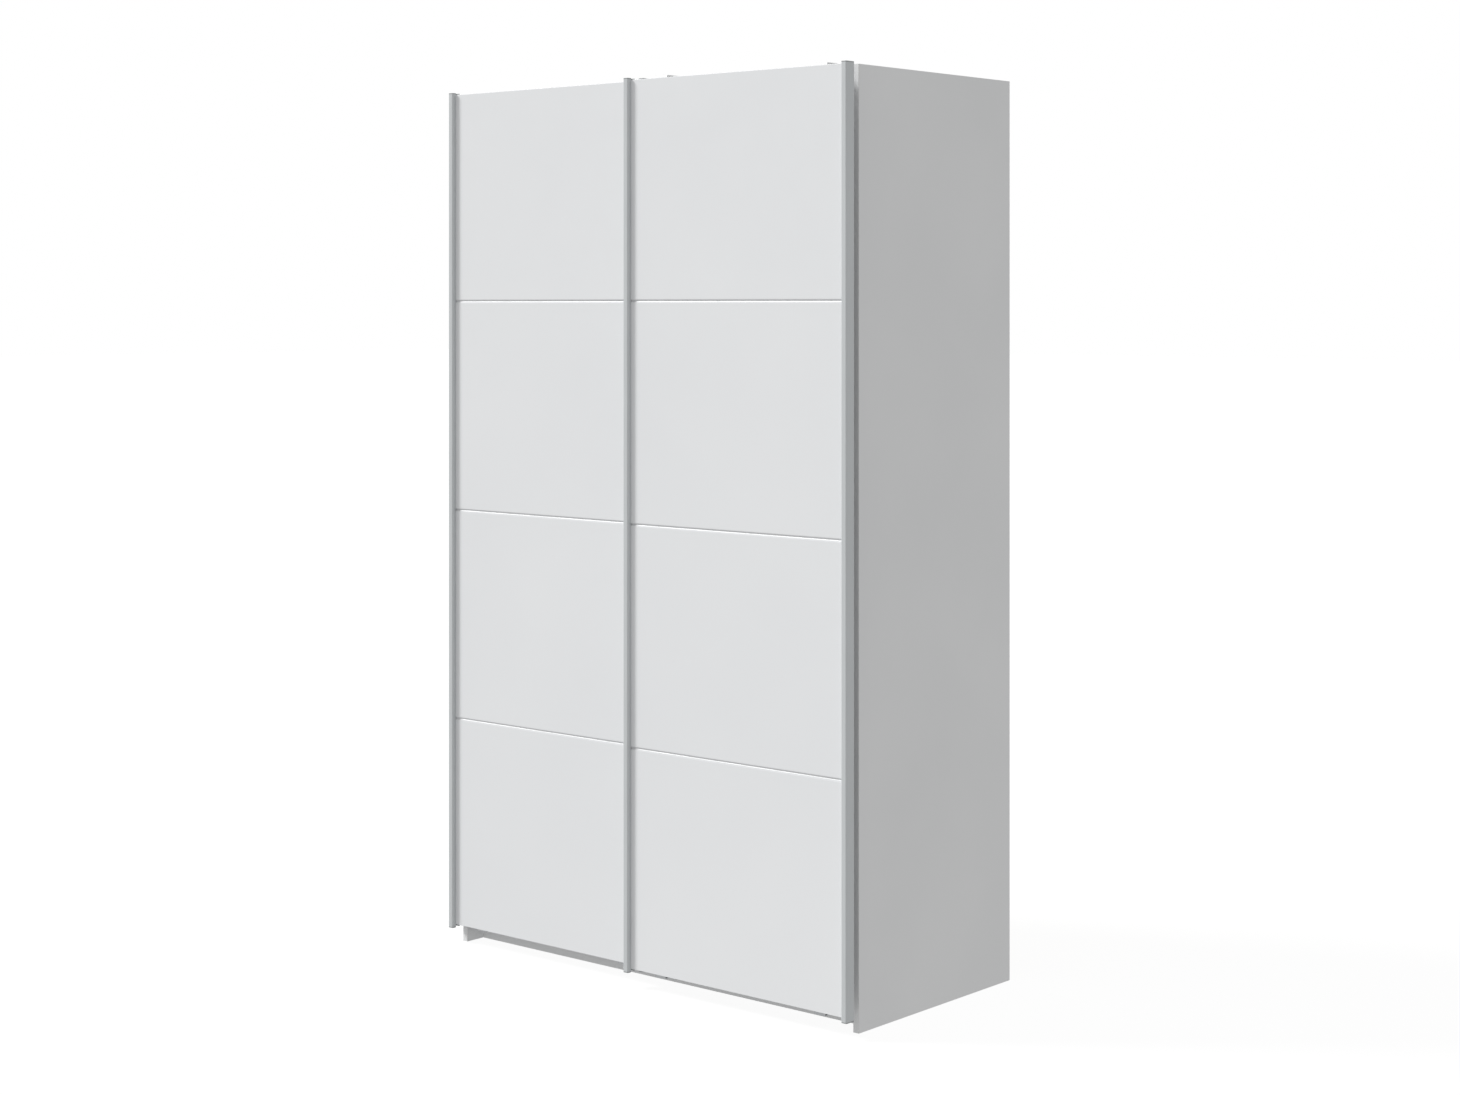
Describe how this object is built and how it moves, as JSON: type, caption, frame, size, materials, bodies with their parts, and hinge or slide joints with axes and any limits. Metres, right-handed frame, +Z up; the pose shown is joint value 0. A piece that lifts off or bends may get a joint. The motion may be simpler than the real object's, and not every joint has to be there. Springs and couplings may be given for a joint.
{
  "type": "sliding door wardrobe",
  "caption": "Tall white wardrobe with overlapping top-hung sliding doors, grooved door fronts, metal edge strips, hanging rail and shelves.",
  "frame": {"origin": "on the floor, under the middle of the whole piece with its doors shut", "axes": "+Z up, doors face -Y, +X to the right when looking at the doors"},
  "size_m": [1.22, 0.613, 2.0189],
  "materials": {
    "carcass_board": "white melamine faced chipboard, matt",
    "door_board": "white foil on fibreboard, satin",
    "back_hardboard": "white lacquered hardboard",
    "edge_strip": "satin anodised",
    "strip_cap": "grey moulded",
    "rail_aluminium": "anodised",
    "chrome_tube": "polished",
    "chrome_socket": "polished die casting",
    "zinc_plated_steel": "zinc plated",
    "hanger_steel": "white powder-coated sheet steel",
    "screw_steel": "zinc plated",
    "cam_zinc": "die-cast zinc",
    "beech_dowel": "raw beech",
    "white_plastic": "white extruded",
    "nylon": "natural nylon",
    "stop_rubber": "black rubber"
  },
  "bodies": {
    "carcass": {"back_joint_strip": "white_plastic", "back_nails": "zinc_plated_steel", "back_panel_left": "back_hardboard", "back_panel_right": "back_hardboard", "bottom_panel": "carcass_board", "cam_bolts": "zinc_plated_steel", "cam_discs": "cam_zinc", "centre_partition": "carcass_board", "dowels": "beech_dowel", "guide_rail": "rail_aluminium", "guide_rail_screws": "screw_steel", "hanging_rail": "chrome_tube", "hat_shelf": "carcass_board", "plinth_front": "carcass_board", "plinth_rear": "carcass_board", "plinth_support": "carcass_board", "rail_end_stops": "stop_rubber", "rail_socket_screws": "screw_steel", "rail_sockets": "chrome_socket", "running_rail": "rail_aluminium", "running_rail_screws": "screw_steel", "shelf_1": "carcass_board", "shelf_2": "carcass_board", "shelf_3": "carcass_board", "shelf_4": "carcass_board", "shelf_pins": "zinc_plated_steel", "side_panel_left": "carcass_board", "side_panel_right": "carcass_board", "top_panel": "carcass_board", "wall_bracket_screws": "screw_steel", "wall_brackets": "zinc_plated_steel"},
    "left_door": {"left_door_guide_blocks": "nylon", "left_door_guide_screws": "screw_steel", "left_door_guides": "zinc_plated_steel", "left_door_hanger_screws": "screw_steel", "left_door_hangers": "hanger_steel", "left_door_panel": "door_board", "left_door_strip_caps": "strip_cap", "left_door_strip_left": "edge_strip", "left_door_strip_right": "edge_strip"},
    "right_door": {"right_door_guide_blocks": "nylon", "right_door_guide_screws": "screw_steel", "right_door_guides": "zinc_plated_steel", "right_door_hanger_screws": "screw_steel", "right_door_hangers": "hanger_steel", "right_door_panel": "door_board", "right_door_strip_caps": "strip_cap", "right_door_strip_left": "edge_strip", "right_door_strip_right": "edge_strip"},
    "left_wheel_1": {"left_door_wheel_1": "nylon"},
    "left_wheel_2": {"left_door_wheel_2": "nylon"},
    "right_wheel_1": {"right_door_wheel_1": "nylon"},
    "right_wheel_2": {"right_door_wheel_2": "nylon"}
  },
  "joints": [
    {"name": "left_door_slide", "type": "slide", "parent": "carcass", "child": "left_door", "axis": [1, 0, 0], "range_m": [0, 0.592]},
    {"name": "right_door_slide", "type": "slide", "parent": "carcass", "child": "right_door", "axis": [1, 0, 0], "range_m": [-0.592, 0]},
    {"name": "left_wheel_1_spin", "type": "hinge", "parent": "left_door", "child": "left_wheel_1", "pos_m": [-0.52, -0.2395, 1.99], "axis": [0, 1, 0], "continuous": true},
    {"name": "left_wheel_2_spin", "type": "hinge", "parent": "left_door", "child": "left_wheel_2", "pos_m": [-0.072, -0.2395, 1.99], "axis": [0, 1, 0], "continuous": true},
    {"name": "right_wheel_1_spin", "type": "hinge", "parent": "right_door", "child": "right_wheel_1", "pos_m": [0.072, -0.2145, 1.99], "axis": [0, 1, 0], "continuous": true},
    {"name": "right_wheel_2_spin", "type": "hinge", "parent": "right_door", "child": "right_wheel_2", "pos_m": [0.52, -0.2145, 1.99], "axis": [0, 1, 0], "continuous": true}
  ],
  "couplings": [
    {"joint": "left_wheel_1_spin", "follows": "left_door_slide", "rad_per_m": 66.667},
    {"joint": "left_wheel_2_spin", "follows": "left_door_slide", "rad_per_m": 66.667},
    {"joint": "right_wheel_1_spin", "follows": "right_door_slide", "rad_per_m": 66.667},
    {"joint": "right_wheel_2_spin", "follows": "right_door_slide", "rad_per_m": 66.667}
  ]
}
